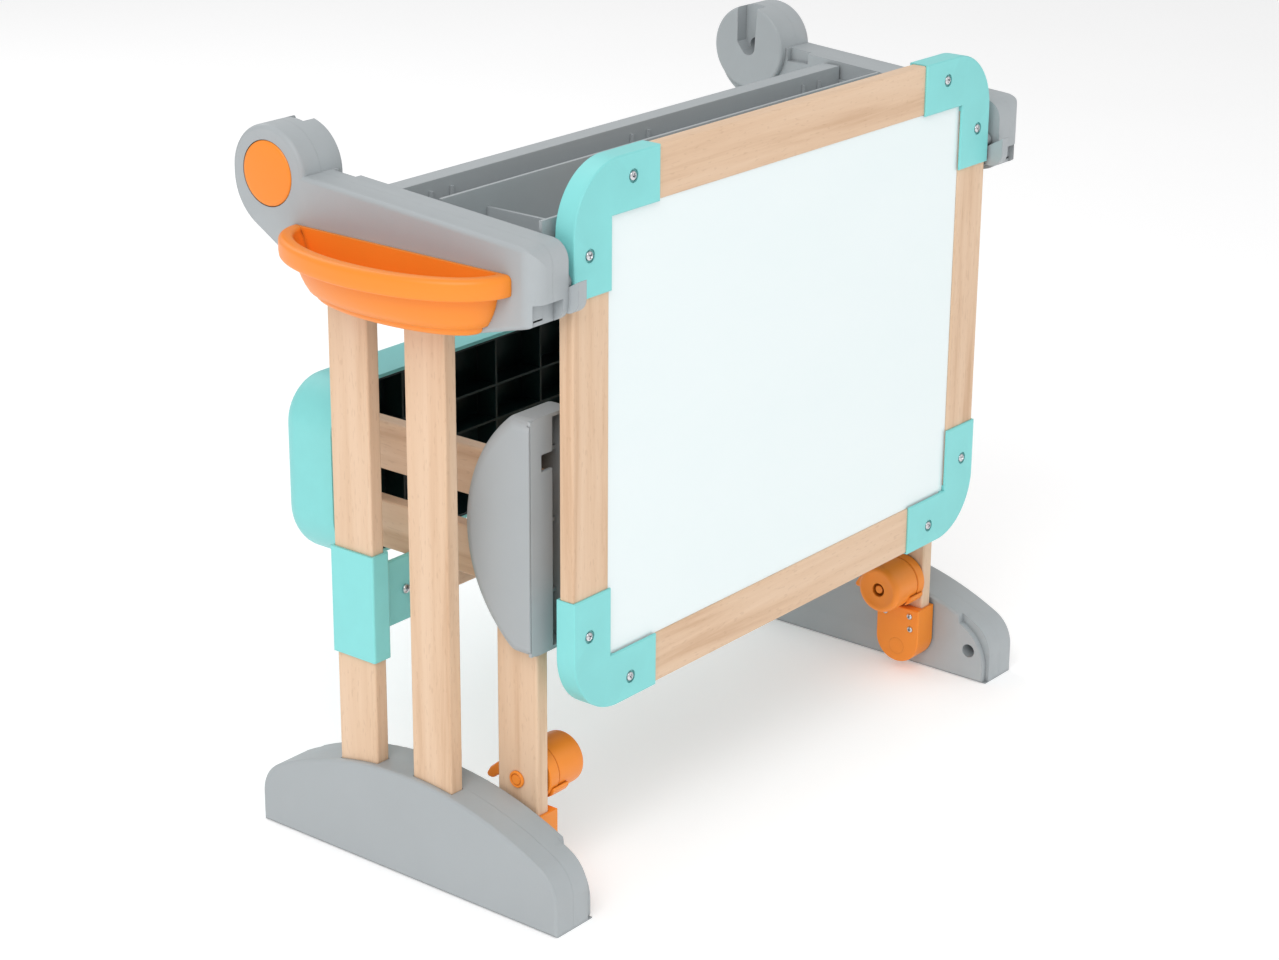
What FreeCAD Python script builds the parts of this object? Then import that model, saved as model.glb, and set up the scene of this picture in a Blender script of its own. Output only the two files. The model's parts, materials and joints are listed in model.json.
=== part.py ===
"""Folding kids easel and desk with a swing-out bench, stored position, millimetres.

Origin: on the floor, under the middle of the object. +X right, -Y front (board side), +Z up.
Pieces are drawn about the middle of the feet, and each is then moved back by origin_shift.
"""
import FreeCAD, Part
import os
import re
import Sketcher

doc = FreeCAD.newDocument("kids_easel")
sheet = doc.addObject("Spreadsheet::Sheet", "Dims")

# alias, value in mm
DIMENSIONS = [
    ("origin_shift", 8.25),        # from the feet's middle to the middle of the whole object
    ("wall", 3.0),                 # moulded shells
    ("gap", 0.3),                  # between pieces that move past each other
    ("stock_thick", 14.0),         # beech stock, thickness
    ("stock_wide", 42.0),          # beech stock, width
    ("foot_outer", 337.5),         # |x| of a main foot's outer face
    ("foot_inner", 291.0),         # |x| of its inner face
    ("shell_split", 316.0),        # |x| where foot and arm half shells meet
    ("foot_half", 163.5),          # half length along Y
    ("foot_high", 92.0),
    ("foot_arch", 315.0),          # radius of the crest
    ("foot_round", 34.0),          # radius at the two ends
    ("ledge_start", 128.0),        # |y| where the inner shell's crest steps down
    ("ledge_wide", 7.0),
    ("ledge_drop", 7.0),
    ("post_inner", 318.0),         # |x| of a post's inner face
    ("post_rear_y", 53.2),
    ("post_front_y", -28.2),
    ("post_low", 14.0),
    ("post_high", 520.0),
    ("arm_outer", 336.5),
    ("arm_inner", 298.0),
    ("head_inner", 291.0),
    ("head_y", 130.0),
    ("head_z", 571.5),
    ("head_radius", 38.8),
    ("arm_front", -144.5),
    ("arm_rear", 168.8),
    ("arm_low", 477.0),
    ("arm_brow", 557.5),           # front end's upper and lower corner
    ("arm_chin", 499.0),
    ("arm_belly", 60.5),           # half length of the flat underside
    ("arm_tail", 541.0),           # where the underside's slope meets the rear end
    ("arm_corner_round", 14.0),    # upright rounding of the outer front corner
    ("bore_end", 312.0),           # |x| where the bore in an arm's head stops
    ("button_radius", 26.4),
    ("trunnion_radius", 6.5),
    ("trunnion_end", 297.4),
    ("hang_y", -131.3),            # trunnion axis while the board hangs in the cradles
    ("hang_z", 523.0),
    ("board_half", 286.8),
    ("board_rear", -124.3),
    ("board_low", 160.0),
    ("board_high", 609.4),
    ("rail_wide", 44.0),
    ("bracket_proud", 2.2),
    ("bracket_round", 54.0),
    ("corner_long", 103.0),         # leg of a corner bracket, along its rail
    ("corner_screw_along", 70.0),  # from the board's edges
    ("corner_screw_across", 18.5),
    ("panel_thick", 3.0),
    ("pivot_y", -80.3),            # bench pivot
    ("pivot_z", 26.4),
    ("pin_radius", 8.0),
    ("bench_arm_inner", 273.0),
    ("bench_foot_front", -106.7),  # flat face, which becomes the sole
    ("bench_foot_outer", 301.0),
    ("bench_foot_inner", 250.0),
    ("bench_foot_split", 290.0),
    ("bench_sole_edge", 299.0),    # |x| where the inner half's sole strip ends
    ("bench_foot_low", 212.0),
    ("bench_foot_high", 409.5),
    ("bench_foot_deep", 70.0),
    ("bench_foot_arch", 125.0),
    ("leg_low_z", 273.0),          # centre heights of the two bench legs
    ("leg_up_z", 342.0),
    ("leg_inner", 259.0),
    ("seat_half", 285.0),
    ("seat_front", 121.5),
    ("seat_rear", 180.0),
    ("seat_low", 222.0),
    ("seat_high", 380.0),
    ("seat_round_low", 48.0),
    ("seat_round_high", 40.0),
    ("seat_deck", 164.0),          # rear face of the insert's floor
    ("liner_wall", 2.0),
    ("latch_z", 95.0),
    ("latch_radius", 23.4),
    ("latch_inner", 228.0),
    ("rail_tab", 275.0),           # |x| where the cross rail's bracket ends
    ("rail_screw", 284.0),
    ("tray_rear", 46.0),
    ("tray_front", -116.0),
    ("tray_low", 497.0),
    ("tray_high", 567.5),
    ("basket_y", -9.0),
    ("basket_half", 113.0),        # half length of the rim
    ("basket_deep", 62.0),         # of the rim, out from the arm
    ("rim_wide", 13.0),
    ("rim_high", 17.0),
    ("bowl_taper", 17.0),          # the bowl's floor is this much smaller all round than its top
    ("basket_low", 484.0),
    ("basket_high", 536.0),
]
for row, (alias, number) in enumerate(DIMENSIONS, start=1):
    sheet.set(f"A{row}", alias)
    sheet.set(f"B{row}", str(number))
    sheet.setAlias(f"B{row}", alias)
doc.recompute()
ALIASES = {alias for alias, number in DIMENSIONS}
SIDES = (("left", -1), ("right", 1))
NODES = []


def bound(text):
    """Turn a plain expression of aliases into one that reads the spreadsheet."""
    def swap(match):
        word = match.group(0)
        return "Dims." + word if word in ALIASES else word
    return re.sub(r"[A-Za-z_]\w*", swap, str(text))


def value(text):
    return float(sheet.evalExpression(bound(text)))


def side_span(sign, low, high):
    """The x range |low|..|high| on the left (-1) or right (+1) side."""
    return (low, high) if sign > 0 else (f"-({high})", f"-({low})")


def square(a, half):
    return (f"{a} - ({half})", f"{a} + ({half})")


# ---------------------------------------------------------------- primitives
def box(x, y, z):
    solid = doc.addObject("Part::Box", "block")
    for prop, (low, high) in zip(("Length", "Width", "Height"), (x, y, z)):
        solid.setExpression(prop, bound(f"({high}) - ({low})"))
    for axis, (low, high) in zip("xyz", (x, y, z)):
        solid.setExpression(f".Placement.Base.{axis}", bound(low))
    return solid


AXIS_TURN = {
    "x": FreeCAD.Rotation(FreeCAD.Vector(0, 1, 0), 90),
    "y": FreeCAD.Rotation(FreeCAD.Vector(1, 0, 0), -90),
    "z": FreeCAD.Rotation(),
}


def rod(axis, radius, x, y, z):
    """Cylinder along an axis; that axis gets a (low, high) pair, the others a centre."""
    solid = doc.addObject("Part::Cylinder", "rod")
    solid.Placement = FreeCAD.Placement(FreeCAD.Vector(), AXIS_TURN[axis])
    solid.setExpression("Radius", bound(radius))
    for name, place in zip("xyz", (x, y, z)):
        if name == axis:
            low, high = place
            solid.setExpression("Height", bound(f"({high}) - ({low})"))
            place = low
        solid.setExpression(f".Placement.Base.{name}", bound(place))
    return solid


def cut(base, *tools):
    tool = tools[0] if len(tools) == 1 else fuse(*tools)
    result = doc.addObject("Part::Cut", "cut")
    result.Base, result.Tool = base, tool
    return result


def fuse(*shapes):
    result = doc.addObject("Part::MultiFuse", "fuse")
    result.Shapes = list(shapes)
    result.Refine = True
    return result


def common(*shapes):
    result = doc.addObject("Part::MultiCommon", "common")
    result.Shapes = list(shapes)
    return result


def rounded(base, radius, keep):
    """Fillet the edges of base for which keep(edge) is true."""
    doc.recompute()
    result = doc.addObject("Part::Fillet", "rounded")
    result.Base = base
    size = value(radius)
    picked = [(i, size, size) for i, edge in enumerate(base.Shape.Edges, start=1) if keep(edge)]
    if not picked:
        raise ValueError(f"no edge to round on {base.Label} {base.State} {base.Shape.BoundBox}")
    result.Edges = picked
    return result


def runs_along(axis):
    """Straight edges parallel to an axis (0, 1 or 2)."""
    def test(edge):
        if edge.Curve.TypeId != "Part::GeomLine":
            return False
        return abs(edge.Curve.Direction[axis]) > 0.999
    return test


def extent(edge, axis):
    size = edge.BoundBox
    return ((size.XMin, size.XMax), (size.YMin, size.YMax), (size.ZMin, size.ZMax))[axis]


def at_plane(axis, place):
    """Edges that lie wholly in the plane where that coordinate equals place."""
    def test(edge):
        return all(abs(end - value(place)) < 0.01 for end in extent(edge, axis))
    return test


def past_plane(axis, place):
    """Edges that reach beyond that coordinate."""
    return lambda edge: extent(edge, axis)[1] > value(place)


def runs_within(direction, axis, low, high):
    """Straight edges parallel to one axis that lie between two places along another."""
    def test(edge):
        first, last = extent(edge, axis)
        return runs_along(direction)(edge) and value(low) < first and last < value(high)
    return test


def runs_near(direction, *point):
    """Straight edges parallel to one axis that pass close to a point given on the other two."""
    others = [axis for axis in range(3) if axis != direction]

    def test(edge):
        middle = edge.CenterOfMass
        return runs_along(direction)(edge) and all(
            abs(middle[axis] - value(place)) < 6 for axis, place in zip(others, point))
    return test


def both(first, second):
    return lambda edge: first(edge) and second(edge)


def prism(plane, outline, low, high):
    """PartDesign body: a padded sketch of straight edges whose vertices are expressions.

    plane is "YZ_Plane", "XZ_Plane" or "XY_Plane", and low..high is the range across it.
    """
    body = doc.addObject("PartDesign::Body", "body")
    sketch = body.newObject("Sketcher::SketchObject", "outline")
    origin_plane = next(f for f in body.Origin.OriginFeatures if f.Role == plane)
    sketch.AttachmentSupport = [(origin_plane, "")]
    sketch.MapMode = "FlatFace"
    # the XZ plane's normal points to -Y, so its offset changes sign
    offset = f"-({high})" if plane == "XZ_Plane" else low
    sketch.setExpression("AttachmentOffset.Base.z", bound(offset))
    corners = [FreeCAD.Vector(value(u), value(v), 0) for u, v in outline]
    count = len(corners)
    for i in range(count):
        sketch.addGeometry(Part.LineSegment(corners[i], corners[(i + 1) % count]))
    for i in range(count):
        sketch.addConstraint(Sketcher.Constraint("Coincident", i, 2, (i + 1) % count, 1))
        for kind, text, number in (("DistanceX", outline[i][0], corners[i].x),
                                   ("DistanceY", outline[i][1], corners[i].y)):
            name = f"{kind}{i}"
            sketch.renameConstraint(sketch.addConstraint(
                Sketcher.Constraint(kind, -1, 1, i, 1, number)), name)
            sketch.setExpression("Constraints." + name, bound(text))
    pad = body.newObject("PartDesign::Pad", "pad")
    pad.Profile = sketch
    pad.setExpression("Length", bound(f"({high}) - ({low})"))
    return body


OVAL_SIDES = ("MinorRadius", "MajorRadius")


def oval(half_x, half_y, x, y, z):
    """Horizontal ellipse, longest along Y."""
    ring = doc.addObject("Part::Ellipse", "oval")
    ring.Placement = FreeCAD.Placement(FreeCAD.Vector(), FreeCAD.Rotation(FreeCAD.Vector(0, 0, 1), 90))
    ring.MajorRadius, ring.MinorRadius = value(half_y), value(half_x)
    for side, size in zip(OVAL_SIDES, (half_x, half_y)):
        ring.setExpression(side, bound(size))
    for name, place in zip("xyz", (x, y, z)):
        ring.setExpression(f".Placement.Base.{name}", bound(place))
    return ring


def between(*rings):
    """Solid through horizontal ovals, lowest first."""
    solid = doc.addObject("Part::Loft", "between")
    solid.Sections = list(rings)
    solid.Solid = True
    solid.Ruled = True
    return solid


def node(label, shape):
    """Name a finished sub-part and move it from the feet's middle to the object's origin."""
    shape.Label = label
    drawn_at = dict(shape.ExpressionEngine).get(".Placement.Base.y", "0")
    shape.setExpression(".Placement.Base.y", f"{drawn_at} - Dims.origin_shift")
    NODES.append(shape)
    return shape


# ---------------------------------------------------------------- wooden stock
def beech(label, x, y, z, long_axis, *cuts):
    """A planed bar with softly rounded long edges."""
    bar = rounded(box(x, y, z), "2", runs_along(long_axis))
    node(label, cut(bar, *cuts) if cuts else bar)


# ---------------------------------------------------------------- main feet
FOOT_TOP_ENDS = runs_within(0, 2, "foot_high / 3", "foot_high + 1")


def foot_block(x, inset):
    """Crested foot: a box under a large arch, with rounded ends."""
    y = (f"-(foot_half - {inset})", f"foot_half - {inset}")
    block = box(x, y, (inset, f"foot_high - {inset}"))
    arch = rod("x", f"foot_arch - {inset}", x, "0", "foot_high - foot_arch")
    return rounded(common(block, arch), f"foot_round - {inset}", FOOT_TOP_ENDS)


def foot_ledges(x):
    """What is cut from a foot's inner top edge, at both ends, to leave a lower crest there."""
    block = box(x, square("0", "foot_half - ledge_drop / 2"), ("-1", "foot_high - ledge_drop"))
    arch = rod("x", "foot_arch - ledge_drop", x, "0", "foot_high - foot_arch")
    kept = rounded(common(block, arch), "foot_round + 10", FOOT_TOP_ENDS)
    ends = [prism("YZ_Plane", [(f"{end} * ledge_start", "foot_high"),
                               (f"{end} * (foot_half + 1)", "foot_high"),
                               (f"{end} * (foot_half + 1)", "0.5"),
                               (f"{end} * (foot_half - 6)", "0.5"),
                               (f"{end} * (ledge_start + 6)", "foot_high - 48")], *x)
            for end in (-1, 1)]
    return cut(fuse(*ends), kept)


def post_hole(sign, centre, z):
    x = side_span(sign, "post_inner - 0.1", "post_inner + stock_thick + 0.1")
    return box(x, square(centre, "stock_wide / 2 + 0.1"), z)


SCREW_SPOTS = (("-144", "29.5"), ("144", "29.5"))
for side, sign in SIDES:
    outer = foot_block(side_span(sign, "shell_split", "foot_outer"), "0")
    outer = rounded(outer, "3", at_plane(0, f"{sign} * foot_outer"))
    hollow = foot_block(side_span(sign, "shell_split", "foot_outer - wall"), "wall")
    holes = [post_hole(sign, centre, ("wall + 20", "foot_high + 5"))
             for centre in ("post_rear_y", "post_front_y")]
    bosses = [rod("x", "9", side_span(sign, "shell_split", "foot_outer - wall"), y, z)
              for y, z in SCREW_SPOTS]
    threads = [rod("x", "2", side_span(sign, "shell_split", "foot_outer - wall - 3"), y, z)
               for y, z in SCREW_SPOTS]
    shell = fuse(cut(outer, hollow), *bosses)
    node(f"foot_outer_shell_{side}", cut(shell, *holes, *threads))

    inner = foot_block(side_span(sign, "foot_inner", "shell_split"), "0")
    inner = rounded(inner, "3", at_plane(0, f"{sign} * foot_inner"))
    inner = cut(inner, foot_ledges(side_span(sign, "foot_inner - 1", "foot_inner + ledge_wide")))
    hollow = fuse(foot_block(side_span(sign, "foot_inner + ledge_wide + wall", "shell_split"), "wall"),
                  common(foot_block(side_span(sign, "foot_inner + wall", "shell_split"), "wall"),
                         box(side_span(sign, "foot_inner", "shell_split"),
                             square("0", "ledge_start - wall"), ("0", "foot_high"))))
    wells = [rod("x", "9", side_span(sign, "foot_inner", "shell_split"), y, z)
             for y, z in SCREW_SPOTS]
    pivot_boss = rod("x", "14", side_span(sign, "foot_inner", "shell_split"), "pivot_y", "pivot_z")
    mouths = [rod("x", "6.5", side_span(sign, "foot_inner - 1", "shell_split - 4"), y, z)
              for y, z in SCREW_SPOTS]
    shafts = [rod("x", "2", side_span(sign, "foot_inner - 1", "shell_split + 1"), y, z)
              for y, z in SCREW_SPOTS]
    pin_hole = rod("x", "pin_radius", side_span(sign, "foot_inner - 1", "shell_split - 4"),
                   "pivot_y", "pivot_z")
    shell = fuse(cut(inner, hollow), *wells, pivot_boss)
    node(f"foot_inner_shell_{side}", cut(shell, *mouths, *shafts, pin_hole))

    # the bench turns on this pin: shaft in the foot, plain head flush with the bench bracket
    node(f"bench_pivot_pin_{side}",
         rod("x", "pin_radius", side_span(sign, "264", "shell_split - 4"), "pivot_y", "pivot_z"))

    for name, centre in (("rear", "post_rear_y"), ("front", "post_front_y")):
        beech(f"post_{name}_{side}", side_span(sign, "post_inner", "post_inner + stock_thick"),
              square(centre, "stock_wide / 2"), ("post_low", "post_high"), 2)


def screw(axis, head_radius, head, shank_radius, shank, first, second):
    """Head and shank on one axis; head and shank are (low, high) ranges along it."""
    if axis == "x":
        head_rod = rod("x", head_radius, head, first, second)
        return fuse(head_rod, rod("x", shank_radius, shank, first, second))
    head_rod = rod("y", head_radius, first, head, second)
    return fuse(head_rod, rod("y", shank_radius, first, shank, second))


node("foot_screws", fuse(*[
    screw("x", "4", side_span(sign, "shell_split - 7", "shell_split - 4"), "2",
          side_span(sign, "shell_split - 4", "shell_split + 12"), y, z)
    for side, sign in SIDES for y, z in SCREW_SPOTS]))


# ---------------------------------------------------------------- side arms
def arm_block(x, inset):
    """Long arm with a curved belly and a round head at its rear end."""
    top_start = f"head_y - sqrt((head_radius - {inset})^2 - 12.25)"
    outline = [
        (top_start, "head_z + 3.5"),
        (f"arm_front + {inset}", f"arm_brow - {inset}"),
        (f"arm_front + {inset}", f"arm_chin + {inset} * 0.8"),
        ("-arm_belly", f"arm_low + {inset}"),
        ("arm_belly", f"arm_low + {inset}"),
        (f"arm_rear - {inset}", f"arm_tail + {inset} * 0.8"),
        (f"arm_rear - {inset}", "head_z"),
    ]
    body = prism("YZ_Plane", outline, *x)
    head = rod("x", f"head_radius - {inset}", x, "head_y", "head_z")
    whole = fuse(body, head)
    rounds = [("arm_front", "arm_brow", "16"), ("arm_front", "arm_chin", "14"),
              ("-arm_belly", "arm_low", "60"), ("arm_belly", "arm_low", "60"),
              ("arm_rear", "arm_tail", "45")]
    for y, z, radius in rounds:
        whole = rounded(whole, f"{radius} - {inset}", runs_near(0, y, z))
    return whole


def beyond_front_corner(sign, inset):
    """What lies outside the upright rounding of an arm's outer front corner."""
    z = ("arm_low", "head_z")
    block = box(side_span(sign, "arm_outer - arm_corner_round", "arm_outer + 1"),
                ("arm_front - 1", "arm_front + arm_corner_round"), z)
    return cut(block, rod("z", f"arm_corner_round - {inset}", f"{sign} * (arm_outer - arm_corner_round)",
                          "arm_front + arm_corner_round", z))


def slide_channel(x, radius):
    """Clear way of the trunnion: a round seat, open along the lift-off direction and above."""
    steps = [("hang_y", "hang_z"), ("hang_y - 60 * cos(30)", "hang_z + 60 * sin(30)")]
    (y0, z0), (y1, z1) = steps
    outline = [
        (f"{y0} - ({radius}) * sin(30)", f"{z0} - ({radius}) * cos(30)"),
        (f"{y0} + ({radius})", f"{z0} - 0.5"),
        (f"{y0} + ({radius})", f"{z0} + 40"),
        (f"{y1}", f"{z1} + 40"),
        (f"{y1} - ({radius}) * sin(30)", f"{z1} - ({radius}) * cos(30)"),
    ]
    return fuse(prism("YZ_Plane", outline, *x), rod("x", radius, x, y0, z0))


for side, sign in SIDES:
    outer = arm_block(side_span(sign, "shell_split", "arm_outer"), "0")
    outer = rounded(outer, "4", at_plane(0, f"{sign} * arm_outer"))
    outer = cut(outer, beyond_front_corner(sign, "0"))
    hollow = arm_block(side_span(sign, "shell_split", "arm_outer - wall"), "wall")
    hollow = cut(hollow, beyond_front_corner(sign, "wall"))
    button_seat = rod("x", "button_radius + 3", side_span(sign, "shell_split", "arm_outer - 1"),
                      "head_y", "head_z")
    button_hole = rod("x", "button_radius + gap", side_span(sign, "321", "arm_outer + 1"),
                      "head_y", "head_z")
    holes = [post_hole(sign, centre, ("arm_low - 5", "post_high - 20"))
             for centre in ("post_rear_y", "post_front_y")]
    recess = box(side_span(sign, "304", "333"), ("arm_front - 1", "arm_front + 10"), ("490", "515"))
    recess_liner = box(side_span(sign, "shell_split", "arm_outer - 1"),
                       ("arm_front + 1", "arm_front + 13"), ("501", "518"))
    shell = fuse(cut(outer, hollow), button_seat, common(recess_liner, outer))
    node(f"arm_outer_shell_{side}", cut(shell, button_hole, recess, *holes))

    disc = rod("x", "button_radius", side_span(sign, "325.5", "arm_outer + 2"), "head_y", "head_z")
    disc = rounded(disc, "2.5", at_plane(0, f"{sign} * (arm_outer + 2)"))
    node(f"head_button_{side}", disc)

    body = arm_block(side_span(sign, "arm_inner", "shell_split"), "0")
    head = rod("x", "head_radius", side_span(sign, "head_inner", "shell_split"), "head_y", "head_z")
    head = rounded(head, "2.5", at_plane(0, f"{sign} * head_inner"))
    hollow = box(side_span(sign, "arm_inner + wall", "shell_split"), ("-118", "78"), ("499", "552"))
    slot_x = side_span(sign, "head_inner - 1", "arm_inner + 7")
    funnel = prism("YZ_Plane", [("head_y - 7.5", "head_z"), ("head_y + 7.5", "head_z - 3"),
                                ("head_y + 12.5", "head_z + 4"), ("head_y + 12.5", "head_z + 60"),
                                ("head_y - 11", "head_z + 60")], *slot_x)
    keyhole = rod("x", "7.5", side_span(sign, "head_inner - 1", "bore_end"), "head_y", "head_z")
    notch = box(side_span(sign, "arm_inner - 1", "arm_inner + 6"), ("66", "89"), ("563", "585"))
    cradle_x = side_span(sign, "289", "arm_inner")
    cradle = prism("YZ_Plane", [("hang_y - 23", "502"), ("hang_y + 15", "502"), ("hang_y + 15", "537"),
                                ("hang_y - 23", "537")], *cradle_x)
    cradle = rounded(cradle, "12", runs_within(0, 2, "0", "hang_z"))
    channel = slide_channel(side_span(sign, "288", "arm_inner"), "trunnion_radius + gap")
    shell = fuse(cut(body, hollow), head, cut(cradle, channel))
    node(f"arm_inner_shell_{side}", cut(shell, funnel, keyhole, notch, recess))


# ---------------------------------------------------------------- tray
def tray():
    end = "arm_inner"
    outside = box((f"-{end}", end), ("tray_front", "tray_rear"), ("tray_low", "tray_high"))
    # rear channel, front compartment, and the hollow under the wide rear rim
    channel = box((f"-{end} + wall", f"{end} - wall"), ("-13", "28"), ("tray_low + wall", "tray_high + 5"))
    left_bay = box((f"-{end} + wall", "-243.5"), ("tray_front + wall", "-16"),
                   ("tray_low + wall", "tray_high + 5"))
    main_bay = box(("-240.5", f"{end} - wall"), ("tray_front + wall", "-16"),
                   ("tray_low + wall", "tray_high + 5"))
    divider_top = box(("-245", "-239"), ("tray_front + wall", "-16"), ("551", "tray_high + 5"))
    under_rim = box((f"-{end} + wall", f"{end} - wall"), ("28 + wall", "tray_rear - wall"),
                    ("tray_low - 5", "tray_high - wall"))
    low_ends = [box(side_span(sign, f"{end} - wall", f"{end} + 1"), ("tray_front - 1", "tray_rear + 1"),
                    ("arm_brow - 3", "tray_high + 1")) for side, sign in SIDES]
    ribs = [box((str(x), str(x + 2.5)), (y, y2), ("tray_low + wall", "tray_high - 8"))
            for x in (-262, -238, -12, 10, 236, 260)
            for y, y2 in (("25", "28"), ("-13", "-10"))]
    return fuse(cut(outside, channel, left_bay, main_bay, divider_top, under_rim, *low_ends), *ribs)


node("tray", tray())

# ---------------------------------------------------------------- cross rail and its brackets
RAIL_Y = ("post_rear_y - stock_thick / 2", "post_rear_y + stock_thick / 2")
RAIL_Z = ("207", "249")
beech("cross_rail", ("-(post_inner - 3)", "post_inner - 3"), RAIL_Y, RAIL_Z, 0)
for side, sign in SIDES:
    sleeve = box(side_span(sign, "post_inner - 3", "post_inner + stock_thick + 2.5"),
                 square("post_rear_y", "stock_wide / 2 + 2.5"), ("181", "273"))
    sleeve = rounded(sleeve, "2", runs_along(2))
    tab = box(side_span(sign, "rail_tab", "post_inner - 2.5"),
              ("post_rear_y - stock_thick / 2 - 4", "post_rear_y - stock_thick / 2"), ("200", "257"))
    tab = rounded(tab, "1.5", runs_along(0))
    cap = box(side_span(sign, "rail_tab", "post_inner - 2.5"),
              ("post_rear_y - stock_thick / 2 - 4", "post_rear_y + stock_thick / 2 + 4"), ("203", "207"))
    post_way = box(side_span(sign, "post_inner", "post_inner + stock_thick"),
                   square("post_rear_y", "stock_wide / 2"), ("180", "274"))
    screw_way = rod("y", "2.2", f"{sign} * rail_screw", ("30", "46.2"), "228")
    node(f"rail_bracket_{side}", cut(fuse(sleeve, tab, cap), post_way, screw_way))
node("rail_bracket_screws", fuse(*[
    screw("y", "4.5", ("post_rear_y - 13", "post_rear_y - 11"), "2.2",
          ("post_rear_y - 11", "post_rear_y - 7"), f"{sign} * rail_screw", "228")
    for side, sign in SIDES]))


# ---------------------------------------------------------------- baskets
def basket_oval(sign, inset, z):
    """Ellipse that the basket's plan is half of; the arm's face cuts it along its long axis."""
    return oval(f"basket_deep - ({inset})", f"basket_half - ({inset})", f"{sign} * arm_outer", "basket_y", z)


for side, sign in SIDES:
    rim = between(basket_oval(sign, "0", "basket_high - rim_high"), basket_oval(sign, "0", "basket_high"))
    rim = rounded(rim, "4", at_plane(2, "basket_high"))
    bowl = between(basket_oval(sign, "rim_wide + bowl_taper", "basket_low"),
                   basket_oval(sign, "rim_wide", "basket_high - rim_high + 1"))
    bowl = rounded(bowl, "9", at_plane(2, "basket_low"))
    inside = between(basket_oval(sign, "rim_wide + bowl_taper + 1", "basket_low + wall"),
                     basket_oval(sign, "rim_wide", "basket_high + 1"))
    inside = rounded(inside, "7", at_plane(2, "basket_low + wall"))
    outward = box(side_span(sign, "arm_outer", "arm_outer + basket_deep + 1"),
                  square("basket_y", "basket_half + 1"), ("basket_low - 1", "basket_high + 2"))
    room = box(side_span(sign, "arm_outer + wall", "arm_outer + basket_deep + 1"),
               square("basket_y", "basket_half + 1"), ("basket_low - 1", "basket_high + 2"))
    node(f"basket_{side}", cut(common(fuse(rim, bowl), outward), common(inside, room)))

# ---------------------------------------------------------------- board
BOARD_FRONT = "board_rear - stock_thick"
BOARD_Y = (BOARD_FRONT, "board_rear")
WOOD_END = "50"
for name, z in (("bottom", ("board_low + 1", "board_low + rail_wide")),
                ("top", ("board_high - rail_wide", "board_high - 1"))):
    rail = box((f"-(board_half - {WOOD_END})", f"board_half - {WOOD_END}"), BOARD_Y, z)
    rail = rounded(rail, "1.5", runs_along(0))
    inner = ("board_low + rail_wide - 6", "board_low + rail_wide") if name == "bottom" \
        else ("board_high - rail_wide", "board_high - rail_wide + 6")
    groove = box(("-board_half", "board_half"), (f"{BOARD_FRONT} + 1.5", "board_rear - 1.5"), inner)
    node(f"board_rail_{name}", cut(rail, groove))
for side, sign in SIDES:
    stile = box(side_span(sign, "board_half - rail_wide", "board_half - 1"), BOARD_Y,
                (f"board_low + {WOOD_END}", f"board_high - {WOOD_END}"))
    stile = rounded(stile, "1.5", runs_along(2))
    groove = box(side_span(sign, "board_half - rail_wide", "board_half - rail_wide + 6"),
                 (f"{BOARD_FRONT} + 1.5", "board_rear - 1.5"), ("board_low", "board_high"))
    socket = rod("x", "trunnion_radius - 1.5", side_span(sign, "board_half - 15", "board_half + 1"),
                 "hang_y", "hang_z")
    node(f"board_stile_{side}", cut(stile, groove, socket))
    pin = rod("x", "trunnion_radius", side_span(sign, "board_half - 1", "trunnion_end"), "hang_y", "hang_z")
    pin = rounded(pin, "1", at_plane(0, f"{sign} * trunnion_end"))
    tail = rod("x", "trunnion_radius - 1.5", side_span(sign, "board_half - 15", "board_half - 1"),
               "hang_y", "hang_z")
    node(f"board_trunnion_{side}", fuse(pin, tail))

PANEL_X = ("-(board_half - rail_wide + 5.8)", "board_half - rail_wide + 5.8")
PANEL_Z = ("board_low + rail_wide - 5.8", "board_high - rail_wide + 5.8")
PANEL_FRONT_Y = (f"{BOARD_FRONT} + 1.5", f"{BOARD_FRONT} + 1.5 + panel_thick")
PANEL_REAR_Y = ("board_rear - 1.5 - panel_thick", "board_rear - 1.5")
node("whiteboard_panel", box(PANEL_X, PANEL_FRONT_Y, PANEL_Z))
node("chalkboard_panel", box(PANEL_X, PANEL_REAR_Y, PANEL_Z))


def from_edge(level, low, high):
    """Heights measured inward from the board's top or bottom edge."""
    if level == "bottom":
        return (f"board_low + {low}", f"board_low + {high}")
    return (f"board_high - ({high})", f"board_high - ({low})")


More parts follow.
